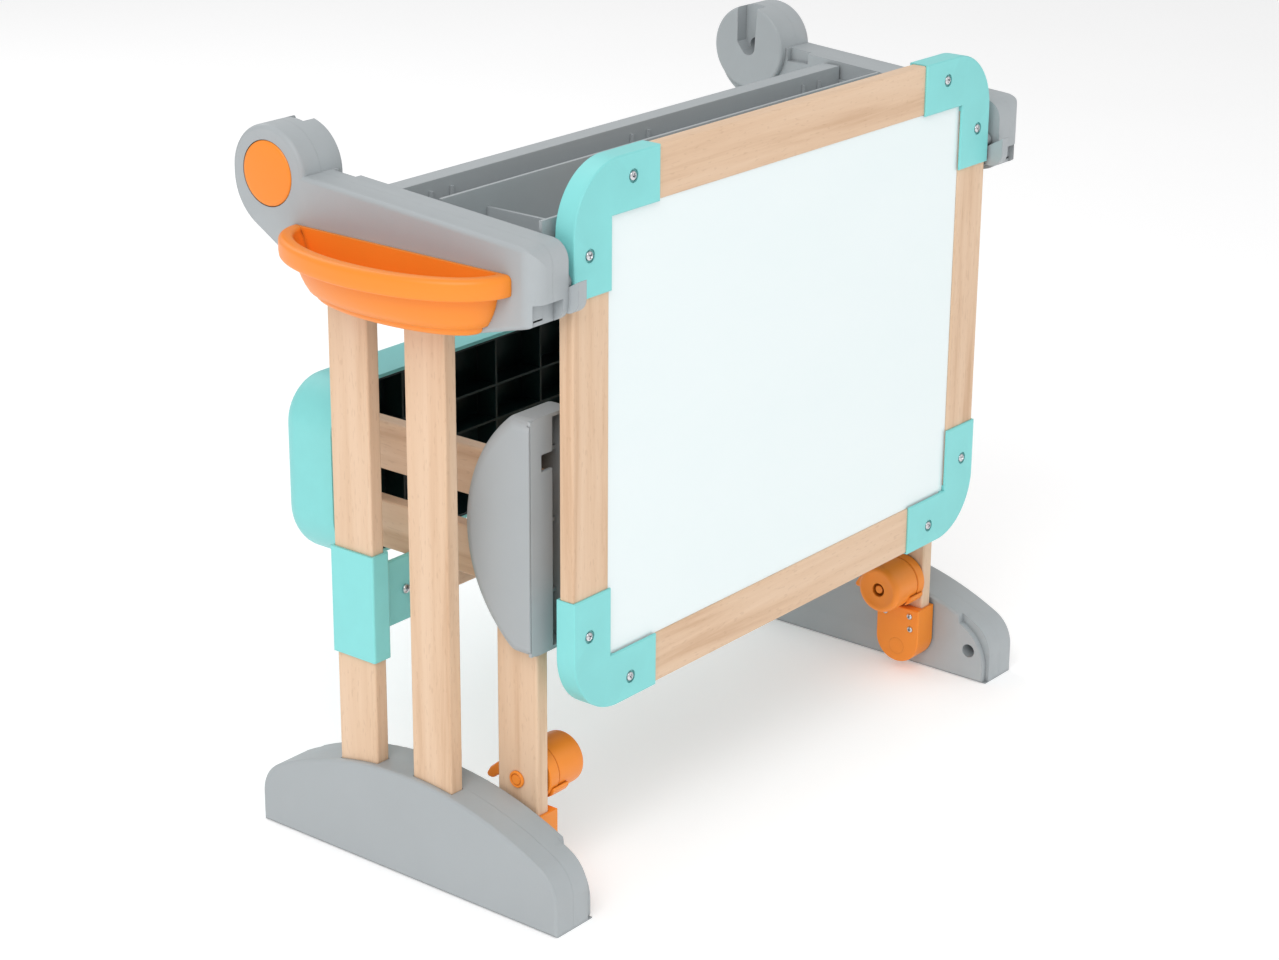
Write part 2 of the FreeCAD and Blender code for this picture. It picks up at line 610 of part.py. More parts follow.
CORNER_SCREWS = []
front_plane = f"{BOARD_FRONT} - bracket_proud"
for level, edge_z in (("bottom", "board_low"), ("top", "board_high")):
    for side, sign in SIDES:
        skin = (front_plane, "board_rear + bracket_proud")
        foot = box(side_span(sign, "board_half - corner_long", "board_half"), skin,
                   from_edge(level, "0", "rail_wide + 1"))
        leg = box(side_span(sign, "board_half - rail_wide - 1", "board_half"), skin,
                  from_edge(level, "0", "corner_long"))
        bracket = rounded(fuse(foot, leg), "bracket_round", runs_near(1, f"{sign} * board_half", edge_z))
        bracket = rounded(bracket, "1.2", at_plane(1, front_plane))
        rail_way = box(side_span(sign, "0", f"board_half - {WOOD_END}"), BOARD_Y,
                       from_edge(level, "1", "rail_wide + 3"))
        stile_way = box(side_span(sign, "board_half - rail_wide - 3", "board_half - 1"), BOARD_Y,
                        from_edge(level, WOOD_END, "200"))
        panel_way = box(side_span(sign, "0", "board_half - rail_wide + 5.8"),
                        (f"{BOARD_FRONT} + 1.5", "board_rear - 1.5"),
                        from_edge(level, "rail_wide - 5.8", "200"))
        trunnion_way = rod("x", "trunnion_radius", side_span(sign, "board_half - 1", "board_half + 1"),
                           "hang_y", "hang_z")
        spots = [(f"{sign} * (board_half - {in_x})", from_edge(level, in_z, in_z)[0])
                 for in_x, in_z in (("corner_screw_along", "corner_screw_across"),
                                    ("corner_screw_across", "corner_screw_along"))]
        wells = [rod("y", "5.5", x, (f"{front_plane} - 1", f"{front_plane} + 1.6"), z) for x, z in spots]
        shafts = [rod("y", "2", x, (front_plane, BOARD_FRONT), z) for x, z in spots]
        CORNER_SCREWS += spots
        node(f"board_corner_{level}_{side}",
             cut(bracket, rail_way, stile_way, panel_way, trunnion_way, *wells, *shafts))
node("board_corner_screws", fuse(*[
    screw("y", "4.2", (f"{BOARD_FRONT} - bracket_proud - 0.2", f"{BOARD_FRONT} - bracket_proud + 1.6"),
          "2", (f"{BOARD_FRONT} - bracket_proud + 1.6", BOARD_FRONT), x, z)
    for x, z in CORNER_SCREWS]))


# ---------------------------------------------------------------- bench
def bench_foot_block(x, inset):
    """D shape: flat sole facing the front, arch towards the rear, rounded ends."""
    block = box(x, ("bench_foot_front", f"bench_foot_front + bench_foot_deep - {inset}"),
                (f"bench_foot_low + {inset}", f"bench_foot_high - {inset}"))
    arch = rod("x", f"bench_foot_arch - {inset}", x,
               "bench_foot_front + bench_foot_deep - bench_foot_arch",
               "(bench_foot_low + bench_foot_high) / 2")
    return rounded(common(block, arch), f"13 - {inset}",
                   runs_within(0, 1, "bench_foot_front + 5", "0"))


ARM_Y = square("pivot_y", "stock_wide / 2")
LEGS = (("lower", "leg_low_z"), ("upper", "leg_up_z"))
LEG_Y = ("-78", "134")
BENCH_SCREWS = []
for side, sign in SIDES:
    arm_x = side_span(sign, "bench_arm_inner", "bench_arm_inner + stock_thick")
    leg_x = side_span(sign, "leg_inner", "leg_inner + stock_thick")
    axle_way = rod("x", "5", side_span(sign, "bench_arm_inner - 1", "bench_arm_inner + stock_thick + 1"),
                   "pivot_y", "latch_z")
    beech(f"bench_arm_{side}", arm_x, ARM_Y, ("46", "leg_up_z + 20"), 2, axle_way)
    for name, centre in LEGS:
        beech(f"bench_leg_{name}_{side}", leg_x, LEG_Y, square(centre, "stock_wide / 2"), 1)

    # half shells of the bench foot; the outer one is a dished plate, the inner one a hollow ring
    plate = bench_foot_block(side_span(sign, "bench_foot_split", "bench_foot_outer"), "0")
    behind_sole = past_plane(1, "bench_foot_front + 1")
    plate = rounded(plate, "10", both(at_plane(0, f"{sign} * bench_foot_outer"), behind_sole))
    dish = bench_foot_block(side_span(sign, "bench_foot_split", "bench_foot_outer - wall"), "wall")
    sole_y = ("bench_foot_front", "bench_foot_front + wall")
    sole_z = ("bench_foot_low + 1", "bench_foot_high - 1")
    sole_gap = box(side_span(sign, "bench_foot_split", "bench_sole_edge + 0.5"), sole_y, sole_z)
    node(f"bench_foot_outer_{side}", cut(plate, dish, sole_gap))

    ring = bench_foot_block(side_span(sign, "bench_foot_inner", "bench_foot_split"), "0")
    ring = rounded(ring, "3", both(at_plane(0, f"{sign} * bench_foot_inner"), behind_sole))
    hollow = bench_foot_block(side_span(sign, "bench_foot_inner + wall", "bench_foot_split"), "wall")
    strip = cut(box(side_span(sign, "bench_arm_inner", "bench_sole_edge"), sole_y, sole_z),
                box(side_span(sign, "bench_arm_inner - 1", "bench_arm_inner + 13"), sole_y,
                    ("bench_foot_high - 45", "bench_foot_high - 31")))
    ribs = [box(side_span(sign, "bench_foot_inner + wall", "bench_arm_inner"),
                ("bench_foot_front + 14", "bench_foot_front + 30"),
                (f"bench_foot_low + {rise}", f"bench_foot_low + {rise} + wall"))
            for rise in (40, 100, 160)]
    arm_way = box(arm_x, ARM_Y, ("190", "leg_up_z + 20"))
    leg_ways = [box(leg_x, ("-78", "0"), square(centre, "stock_wide / 2")) for name, centre in LEGS]
    node(f"bench_foot_inner_{side}", cut(fuse(cut(ring, hollow), strip, *ribs), arm_way, *leg_ways))

    # orange end bracket, a cup round the end of the link arm, turning on the pivot pin
    cup_x = side_span(sign, "264", "289.5")
    cup = fuse(box(cup_x, square("pivot_y", "23.5"), ("34", "67.5")),
               rod("x", "23.5", cup_x, "pivot_y", "34"))
    cup = rounded(cup, "1.5", at_plane(0, f"{sign} * 264"))
    socket = box(arm_x, ARM_Y, ("46", "70"))
    bore = rod("x", "pin_radius + 0.06", side_span(sign, "263", "290"), "pivot_y", "pivot_z")
    spots = [("pivot_y + 14", "59"), ("pivot_y - 13.5", "60"), ("pivot_y - 14.5", "47")]
    wells = [rod("x", "3", side_span(sign, "263", "265"), y, z) for y, z in spots]
    node(f"bench_bracket_{side}", cut(cup, socket, bore, *wells))
    BENCH_SCREWS += [rod("x", "2.9", side_span(sign, "263.6", "265"), y, z) for y, z in spots]

    # latch: drum with a lever, on an axle through the link arm
    drum = rod("x", "latch_radius", side_span(sign, "latch_inner", "bench_arm_inner - gap"),
               "pivot_y", "latch_z")
    drum = rounded(drum, "5", at_plane(0, f"{sign} * latch_inner"))
    lever = prism("YZ_Plane", [("pivot_y", "latch_z - 20"), ("pivot_y + 36", "latch_z - 22"),
                               ("pivot_y + 48", "latch_z - 18"), ("pivot_y + 44", "latch_z - 11"),
                               ("pivot_y + 20", "latch_z + 8")],
                  *side_span(sign, "bench_arm_inner - 14", "bench_arm_inner - gap"))
    bore = rod("x", "5.06", side_span(sign, "latch_inner - 1", "bench_arm_inner"), "pivot_y", "latch_z")
    node(f"latch_{side}", cut(fuse(drum, lever), bore))
    shaft = rod("x", "5", side_span(sign, "latch_inner + 2", "bench_arm_inner + stock_thick"),
                "pivot_y", "latch_z")
    cap = rod("x", "7.3", side_span(sign, "bench_arm_inner + stock_thick", "289.3"), "pivot_y", "latch_z")
    node(f"latch_axle_{side}", fuse(shaft, cap))
node("bench_screws", fuse(*BENCH_SCREWS))


def seat_outline(inset, y):
    """Seat pan laid on its side: rounded outline in XZ."""
    block = box(square("0", f"seat_half - ({inset})"), y,
                (f"seat_low + {inset}", f"seat_high - ({inset})"))
    block = rounded(block, f"seat_round_low - ({inset})", runs_within(1, 2, "0", "seat_low + 10"))
    return rounded(block, f"seat_round_high - ({inset})",
                   runs_within(1, 2, "seat_high - 10", "seat_high + 10"))


def seat_pan(inset, edge_round):
    """Seat pan with a softened edge round its back, which is the sitting face."""
    block = seat_outline(inset, ("seat_front", f"seat_rear - {inset}"))
    return rounded(block, edge_round, at_plane(1, f"seat_rear - {inset}"))


node("bench_seat_shell", cut(seat_pan("0", "16"), seat_pan("wall", "13")))
# dark insert: lined walls, a floor, ribs, and a pad behind each pair of legs
liner = cut(seat_outline("wall", ("seat_front + 1", "seat_deck")),
            seat_outline("wall + liner_wall", ("seat_front", "seat_deck - liner_wall")))
INNER_Z = ("seat_low + wall + 1", "seat_high - wall - 1")
RIB_Y = ("seat_deck - 24", "seat_deck - 1")
ribs = [box((str(x), f"{x} + liner_wall"), RIB_Y, INNER_Z) for x in range(-240, 241, 60)]
ribs += [box(square("0", "seat_half - wall - 1"), RIB_Y, (str(z), f"{z} + liner_wall"))
         for z in (292, 324)]
pads = [box(side_span(sign, "leg_inner - 3", "275"), (LEG_Y[1], "seat_deck - 1"), ("257", "359"))
        for side, sign in SIDES]
leg_ways = [box(side_span(sign, "leg_inner", "leg_inner + stock_thick"), LEG_Y,
                square(centre, "stock_wide / 2")) for side, sign in SIDES for name, centre in LEGS]
node("bench_seat_grid", cut(fuse(liner, *ribs, *pads), *leg_ways))

# ---------------------------------------------------------------- check and write
doc.recompute()
failed = [item for item in doc.Objects if "Invalid" in item.State or "Error" in item.State]
for item in failed:
    users = [user.Label for user in item.InListRecursive]
    print(f"{item.Name} failed {item.State}, used by {users}")
if failed:
    raise RuntimeError("some objects failed")
os.makedirs("parts", exist_ok=True)
for item in NODES:
    if item.Shape.isNull() or not item.Shape.isValid():
        raise RuntimeError(f"{item.Label} has no valid shape")
    item.Shape.exportStep(f"parts/{item.Label}.step")
    size = item.Shape.optimalBoundingBox()
    print(f"{item.Label:28s} solids {len(item.Shape.Solids)}  volume {item.Shape.Volume / 1000:8.1f} cm3"
          f"  x {size.XMin:7.1f} {size.XMax:7.1f}  y {size.YMin:7.1f} {size.YMax:7.1f}"
          f"  z {size.ZMin:7.1f} {size.ZMax:7.1f}")
print(f"{len(NODES)} sub-parts")
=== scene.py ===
"""Looks of the folding kids easel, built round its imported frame."""
import json
import math

import bmesh
import bpy
from mathutils import Matrix, Vector

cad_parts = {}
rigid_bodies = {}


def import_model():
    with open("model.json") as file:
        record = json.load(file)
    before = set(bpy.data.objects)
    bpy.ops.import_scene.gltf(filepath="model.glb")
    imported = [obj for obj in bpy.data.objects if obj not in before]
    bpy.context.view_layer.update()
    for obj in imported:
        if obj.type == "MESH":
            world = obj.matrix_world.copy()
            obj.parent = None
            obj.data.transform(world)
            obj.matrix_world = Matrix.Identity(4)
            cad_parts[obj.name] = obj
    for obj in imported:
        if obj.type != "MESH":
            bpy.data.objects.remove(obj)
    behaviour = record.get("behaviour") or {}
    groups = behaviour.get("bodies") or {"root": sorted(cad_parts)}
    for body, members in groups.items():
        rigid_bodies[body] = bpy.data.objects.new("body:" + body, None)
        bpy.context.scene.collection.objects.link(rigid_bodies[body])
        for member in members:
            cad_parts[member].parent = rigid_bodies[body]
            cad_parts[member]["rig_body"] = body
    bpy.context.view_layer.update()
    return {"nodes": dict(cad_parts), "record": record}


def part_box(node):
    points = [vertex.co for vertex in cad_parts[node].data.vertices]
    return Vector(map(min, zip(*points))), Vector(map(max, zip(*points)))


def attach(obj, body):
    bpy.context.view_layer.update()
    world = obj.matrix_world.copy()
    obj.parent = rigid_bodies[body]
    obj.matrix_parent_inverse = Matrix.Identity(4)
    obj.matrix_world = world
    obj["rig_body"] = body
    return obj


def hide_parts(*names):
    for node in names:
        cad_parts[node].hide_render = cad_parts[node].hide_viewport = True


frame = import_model()
nodes = frame["nodes"]
MM = 0.001


# ---------------------------------------------------------------- node helpers
class Shader:
    """Small wrapper that adds and links shader nodes by name."""

    def __init__(self, name):
        self.material = bpy.data.materials.new(name)
        self.material.use_nodes = True
        self.tree = self.material.node_tree
        self.bsdf = self.tree.nodes["Principled BSDF"]

    def add(self, kind, inputs=None, **settings):
        node = self.tree.nodes.new(kind)
        for key, setting in settings.items():
            setattr(node, key, setting)
        for key, source in (inputs or {}).items():
            self.put(node.inputs[key], source)
        return node

    def put(self, socket, source):
        """Link another node's output to a socket, or write a plain value on it."""
        if isinstance(source, bpy.types.NodeSocket):
            self.tree.links.new(source, socket)
        else:
            socket.default_value = source

    def set(self, **inputs):
        """Inputs of the Principled shader, with _ for the spaces in their names."""
        for key, source in inputs.items():
            self.put(self.bsdf.inputs[key.replace("_", " ")], source)

    def place(self, scale=(1, 1, 1), shift=(0, 0, 0)):
        """Object coordinates, scaled, so that patterns keep their real size."""
        coordinates = self.add("ShaderNodeTexCoord")
        return self.add("ShaderNodeMapping", {"Vector": coordinates.outputs["Object"],
                                              "Scale": scale, "Location": shift}).outputs[0]

    def noise(self, vector, scale, detail=3.0, roughness=0.5):
        return self.add("ShaderNodeTexNoise", {"Vector": vector, "Scale": scale, "Detail": detail,
                                               "Roughness": roughness}).outputs["Fac"]

    def ramp(self, factor, *stops):
        """Colour ramp through (position, colour) stops."""
        node = self.add("ShaderNodeValToRGB", {"Fac": factor})
        node.color_ramp.elements[0].position, node.color_ramp.elements[0].color = stops[0]
        node.color_ramp.elements[1].position, node.color_ramp.elements[1].color = stops[-1]
        for position, colour in stops[1:-1]:
            node.color_ramp.elements.new(position).color = colour
        return node.outputs["Color"]

    def mask(self, factor, start, full):
        """Ramp from black at start to white at full."""
        return self.ramp(factor, (start, grey_level(0.0)), (full, grey_level(1.0)))

    def mix(self, factor, first, second, blend="MIX"):
        node = self.add("ShaderNodeMix", data_type="RGBA", blend_type=blend)
        self.put(node.inputs[0], factor)
        self.put(node.inputs[6], first)
        self.put(node.inputs[7], second)
        return node.outputs[2]

    def math(self, operation, first, second):
        node = self.add("ShaderNodeMath", operation=operation)
        self.put(node.inputs[0], first)
        self.put(node.inputs[1], second)
        return node.outputs[0]

    def span(self, factor, low, high):
        """Factor 0..1 spread over low..high."""
        return self.add("ShaderNodeMapRange", {"Value": factor, "To Min": low, "To Max": high}).outputs[0]

    def soft_edges(self, radius):
        """Normals rounded over every fold, for the small radii that moulding and sanding leave."""
        return self.add("ShaderNodeBevel", {"Radius": radius}, samples=4).outputs[0]

    def painted_crevice_shade(self, colour, reach):
        """Colour darkened where other surfaces are close: painted shade in joints, creases and recesses."""
        openness = self.add("ShaderNodeAmbientOcclusion", {"Distance": reach}, samples=4).outputs["AO"]
        shade = self.ramp(openness, (0.0, grey_level(0.30)), (0.62, grey_level(1.0)))
        return self.mix(1.0, colour, shade, "MULTIPLY")

    def bump(self, height, distance, strength, below):
        """Normal of a height pattern laid over the normal below it."""
        return self.add("ShaderNodeBump", {"Height": height, "Distance": distance,
                                           "Strength": strength, "Normal": below}).outputs[0]


def grey_level(value):
    return (value, value, value, 1.0)


def tint(colour, factor):
    return tuple(min(1.0, c * factor) for c in colour) + (1.0,)


# ---------------------------------------------------------------- materials
def moulded_plastic(name, colour, roughness):
    """Injection-moulded plastic: spark-eroded grain, faint flow mottling, paler rubbed edges."""
    edge_radius, flow_depth, grain_depth, wear = 0.8 * MM, 0.4 * MM, 0.06 * MM, 0.35
    s = Shader(name)
    here = s.place()
    mottle = s.noise(here, 14.0, 4.0, 0.55)
    base = s.mix(mottle, tint(colour, 0.95), tint(colour, 1.05))
    edge = s.add("ShaderNodeNewGeometry").outputs["Pointiness"]
    rubbed = s.mask(edge, 0.505, 0.56)
    patchy = s.math("MULTIPLY", rubbed, s.span(s.noise(here, 60.0), 0.2, 1.0))
    base = s.mix(s.math("MULTIPLY", patchy, wear), base, tint(colour, 1.25))
    fine = s.noise(here, 2600.0, 2.0, 0.6)
    broad = s.noise(here, 35.0, 3.0, 0.5)
    normal = s.bump(broad, flow_depth, 0.25, s.soft_edges(edge_radius))
    normal = s.bump(fine, grain_depth, 0.55, normal)
    # base colour carries painted shade: darkened by ambient occlusion within 7 mm of other surfaces
    s.set(Base_Color=s.painted_crevice_shade(base, 7.0 * MM), Normal=normal, Specular_IOR_Level=0.42,
          Roughness=s.span(mottle, roughness - 0.06, roughness + 0.07))
    return s.material


def beech(name, grain_axis, seed):
    """Steamed beech: long soft growth bands, fine fibres and the short brown ray flecks."""
    light, middle, dark = (0.82, 0.60, 0.425, 1), (0.76, 0.53, 0.355, 1), (0.63, 0.40, 0.245, 1)
    blush, fleck_brown = (0.84, 0.64, 0.47, 1), (0.42, 0.235, 0.13, 1)
    s = Shader(name)
    shift = (seed * 3.17, seed * 1.73, seed * 2.41)

    def drawn_out(across, along):
        """Coordinates of a pattern that is stretched along the grain."""
        return s.place([along if axis == grain_axis else across for axis in range(3)], shift)
    bands_at = drawn_out(22.0, 1.1)
    bend = s.noise(s.place((3.0, 3.0, 3.0), shift), 1.4, 2.0)
    bands = s.add("ShaderNodeTexNoise", {"Vector": bands_at, "Scale": 2.6, "Detail": 5.0,
                                         "Roughness": 0.62, "Distortion": 0.35}).outputs["Fac"]
    fibre = s.noise(drawn_out(900.0, 18.0), 1.0, 3.0, 0.6)
    fleck = s.mask(s.noise(drawn_out(620.0, 130.0), 1.0, 0.0), 0.68, 0.76)
    base = s.ramp(bands, (0.32, dark), (0.46, middle), (0.62, light))
    base = s.mix(s.span(bend, 0.0, 0.25), base, blush)
    base = s.mix(s.span(fibre, 0.0, 0.24), base, dark)
    base = s.mix(s.math("MULTIPLY", fleck, 0.16), base, fleck_brown)
    height = s.math("ADD", s.math("MULTIPLY", fibre, 0.7), s.math("MULTIPLY", bands, 0.3))
    normal = s.bump(height, 0.18 * MM, 0.35, s.soft_edges(1.2 * MM))
    # base colour carries painted shade: darkened by ambient occlusion within 5 mm of other surfaces
    s.set(Base_Color=s.painted_crevice_shade(base, 5.0 * MM), Normal=normal, Specular_IOR_Level=0.35,
          Roughness=s.span(fibre, 0.44, 0.60))
    return s.material


def whiteboard_skin():
    """Dry-wipe laminate: glossy, faintly cool, with wiping haze and hair-line scratches."""
    s = Shader("whiteboard_skin")
    haze = s.noise(s.place((1.0, 1.0, 2.4)), 5.0, 4.0, 0.6)
    scratch = s.mask(s.noise(s.place((700.0, 1.0, 9.0)), 1.0, 1.0), 0.70, 0.76)
    base = s.mix(haze, (0.83, 0.93, 0.94, 1), (0.88, 0.955, 0.96, 1))
    s.set(Base_Color=base, Roughness=s.span(haze, 0.10, 0.20), Coat_Weight=0.35, Coat_Roughness=0.06,
          Normal=s.bump(scratch, 0.02 * MM, 0.10, s.soft_edges(0.4 * MM)))
    return s.material


def chalkboard_skin():
    """Matt slate-coloured lacquer with wiped chalk dust."""
    s = Shader("chalkboard_skin")
    dust = s.noise(s.place((2.0, 2.0, 7.0)), 4.0, 6.0, 0.65)
    cloud = s.mask(dust, 0.40, 0.75)
    base = s.mix(s.math("MULTIPLY", cloud, 0.35), (0.035, 0.042, 0.042, 1), (0.20, 0.21, 0.21, 1))
    grain = s.noise(s.place(), 1800.0, 2.0)
    s.set(Base_Color=base, Roughness=s.span(grain, 0.78, 0.92),
          Normal=s.bump(grain, 0.06 * MM, 0.5, s.soft_edges(0.4 * MM)))
    return s.material


def zinc_steel():
    """Zinc-plated screw steel with light brushed tooling marks."""
    s = Shader("zinc_steel")
    streak = s.noise(s.place((900.0, 900.0, 120.0)), 1.0, 2.0)
    s.set(Base_Color=s.mix(streak, (0.55, 0.56, 0.58, 1), (0.80, 0.81, 0.83, 1)),
          Roughness=s.span(streak, 0.22, 0.38), Metallic=1.0,
          Normal=s.bump(streak, 0.03 * MM, 0.3, s.soft_edges(0.15 * MM)))
    return s.material


def grain_axis_of(name):
    """The axis along which a node is longest, which is the way its grain runs."""
    low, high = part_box(name)
    size = high - low
    return max(range(3), key=lambda i: size[i])


SLOT_MATERIAL = {
    "grey_plastic": moulded_plastic("grey_plastic", (0.40, 0.43, 0.445), 0.46),
    "teal_plastic": moulded_plastic("teal_plastic", (0.235, 0.68, 0.67), 0.40),
    "orange_plastic": moulded_plastic("orange_plastic", (0.95, 0.275, 0.025), 0.38),
    # dark_plastic is painted shade: a near-black teal that stands for teal hollows and ribbed undersides
    # lying in shade
    "dark_plastic": moulded_plastic("dark_plastic", (0.006, 0.022, 0.022), 0.40),
    "whiteboard": whiteboard_skin(),
    "chalkboard": chalkboard_skin(),
    "screw_steel": zinc_steel(),
}
SLOT_OF = {part["node"]: part["material_slot"] for part in frame["record"]["subparts"]}
BODY_OF = {name: node["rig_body"] for name, node in nodes.items()}
MATERIAL_OF = {}
for index, (name, slot) in enumerate(sorted(SLOT_OF.items())):
    if slot == "beech":
        MATERIAL_OF[name] = beech(f"beech_{name}", grain_axis_of(name), index + 1)
    else:
        MATERIAL_OF[name] = SLOT_MATERIAL[slot]
    nodes[name].data.materials.clear()
    nodes[name].data.materials.append(MATERIAL_OF[name])


# ---------------------------------------------------------------- mesh tools
def cosd(angle):
    return math.cos(math.radians(angle))


def sind(angle):
    return math.sin(math.radians(angle))


def to_object(name, bm, edge=0.0, segments=2, limit=34.0):
    """Mesh object shaded smooth except over folds sharper than limit, with rounded folds if edge is given."""
    bmesh.ops.recalc_face_normals(bm, faces=bm.faces[:])
    mesh = bpy.data.meshes.new(name)
    bm.to_mesh(mesh)
    bm.free()
    mesh.shade_smooth()
    mesh.set_sharp_from_angle(angle=math.radians(limit))
    piece = bpy.data.objects.new(name, mesh)
    bpy.context.collection.objects.link(piece)
    if edge:
        bevel = piece.modifiers.new("soft_edges", "BEVEL")
        bevel.width, bevel.segments = edge, segments
        bevel.limit_method, bevel.angle_limit = "ANGLE", math.radians(limit)
        bevel.use_clamp_overlap = False
        bevel.harden_normals = True
    return piece


def settle(piece, node, stands_in=True):
    """Give a piece the body, slot and finish of a node, and let it stand for that node or join it."""
    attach(piece, BODY_OF[node])
    if stands_in:
        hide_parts(node)
    piece.data.materials.clear()
    piece.data.materials.append(MATERIAL_OF[node])


def islands(name):
    """Boxes of the separate solids of one node."""
    bm = bmesh.new()
    bm.from_mesh(nodes[name].data)
    bmesh.ops.remove_doubles(bm, verts=bm.verts[:], dist=2e-6)
    left, boxes = set(bm.verts), []
    while left:
        grown, front = set(), [left.pop()]
        while front:
            vert = front.pop()
            grown.add(vert)
            for edge in vert.link_edges:
                other = edge.other_vert(vert)
                if other in left:
                    left.discard(other)
                    front.append(other)
        boxes.append((Vector([min(v.co[i] for v in grown) for i in range(3)]),
                      Vector([max(v.co[i] for v in grown) for i in range(3)])))
    bm.free()
    return sorted(boxes, key=lambda b: tuple(round(c, 4) for c in b[0]))


def carve(piece, cutter):
    """Cut one mesh out of another, and drop the cutter."""
    boolean = piece.modifiers.new("carve", "BOOLEAN")
    boolean.operation, boolean.solver, boolean.object = "DIFFERENCE", "EXACT", cutter
    bpy.context.view_layer.update()
    graph = bpy.context.evaluated_depsgraph_get()
    mesh = bpy.data.meshes.new_from_object(piece.evaluated_get(graph))
    piece.modifiers.clear()
    old, piece.data = piece.data, mesh
    bpy.data.meshes.remove(old)
    bpy.data.objects.remove(cutter)
    mesh.shade_smooth()


def bridge_rings(bm, rings):
    """Closed skin over neighbouring rings of equal length, capped at both ends."""
    made = [[bm.verts.new(point) for point in ring] for ring in rings]
    count = len(made[0])
    for low, high in zip(made, made[1:]):
        for i in range(count):
            j = (i + 1) % count
            bm.faces.new((low[i], low[j], high[j], high[i]))
    bm.faces.new(made[0][::-1])
    bm.faces.new(made[-1])


def lathe(bm, axis, origin, profile, steps=64):
    """Surface of revolution. The profile is (radius, distance along the axis) pairs."""
    direction = Vector((0, 0, 0))
    direction[axis] = 1.0
    first = Vector((0, 0, 0))
    first[(axis + 1) % 3] = 1.0
    second = direction.cross(first)
    rings = []
    for radius, along in profile:
        rings.append([origin + direction * along + radius * (
            first * math.cos(2 * math.pi * i / steps) + second * math.sin(2 * math.pi * i / steps))
            for i in range(steps)])
    bridge_rings(bm, rings)


def slab(bm, outline, low, high):
    """Straight extrusion along X of an outline of (y, z) points."""
    bridge_rings(bm, [[Vector((x, y, z)) for y, z in outline] for x in (low, high)])


# ---------------------------------------------------------------- screws
def cross_head(radius):
    """Mesh of a pan head with a cross recess, pointing to +Z, its rim at z = 0."""
    high = radius * 0.55
    profile = [(radius * 0.92, -radius * 0.25), (radius, 0.0)]
    profile += [(radius * cosd(a), high * sind(a)) for a in range(15, 76, 15)]
    bm = bmesh.new()
    lathe(bm, 2, Vector((0, 0, 0)), profile, 40)
    head = to_object("cross_head", bm)
    long, wide = radius * 0.58, radius * 0.17
    for turn in (0.0, 90.0):
        spin = Matrix.Rotation(math.radians(turn), 4, "Z")
        blade = bmesh.new()
        bridge_rings(blade, [[spin @ Vector((x * long * scale, y * wide * scale, z))
                              for x, y in ((-1, -1), (1, -1), (1, 1), (-1, 1))]
                             for z, scale in ((-radius * 0.2, 0.45), (high * 1.2, 1.1))])
        carve(head, to_object("cutter", blade))
    mesh = head.data
    bpy.data.objects.remove(head)
    mesh.set_sharp_from_angle(angle=math.radians(40))
    return mesh


def screw_set(name, directions, radius, sink):
    """All screw heads of one node, each turned a little differently and sunk a little into its well."""
    template = cross_head(radius)
    bm = bmesh.new()
    for index, (low, high) in enumerate(islands(name)):
        way = directions(low, high)
        centre = (low + high) / 2
        axis = max(range(3), key=lambda i: abs(way[i]))
        centre[axis] = (high if way[axis] > 0 else low)[axis] - way[axis] * sink
        facing = way.to_track_quat("Z", "Y").to_matrix().to_4x4()
        turned = facing @ Matrix.Rotation(0.7 + 1.9 * index, 4, "Z")
        head = template.copy()
        head.transform(Matrix.Translation(centre) @ turned)
        bm.from_mesh(head)
        bpy.data.meshes.remove(head)
    settle(to_object(f"{name}_heads", bm, limit=40), name)


def to_middle(low, high):
    return Vector((-1.0 if low.x > 0 else 1.0, 0, 0))


def to_front(low, high):
    return Vector((0, -1, 0))


# ---------------------------------------------------------------- head buttons
def head_button(side, sign):
    """Disc with a narrow sloping shoulder and a low dome."""
    name = f"head_button_{side}"
    low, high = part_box(name)
    centre = (low + high) / 2
    radius = (high.y - low.y) / 2
    back, face = (low.x, high.x) if sign > 0 else (high.x, low.x)
    dome_radius, shoulder, rise = radius - 1.6 * MM, face - sign * 1.2 * MM, sign * 1.152 * MM
    profile = [(radius - 1.0 * MM, back), (radius, back + sign * 0.6 * MM),
               (radius, face - sign * 3.0 * MM), (radius - 0.5 * MM, face - sign * 2.0 * MM),
               (dome_radius, shoulder)]
    steps = 12
    for i in range(1, steps):
        inward = i / steps
        profile.append((dome_radius * (1 - inward), shoulder + rise * (1 - (1 - inward) ** 2)))
    bm = bmesh.new()
    lathe(bm, 0, Vector((0, centre.y, centre.z)), profile, 96)
    settle(to_object(f"{name}_dome", bm, limit=50), name)


# ---------------------------------------------------------------- baskets
BASKET_WALL, RIM_WIDE, RIM_HIGH, BOWL_TAPER = 3.0 * MM, 13.0 * MM, 17.0 * MM, 17.0 * MM


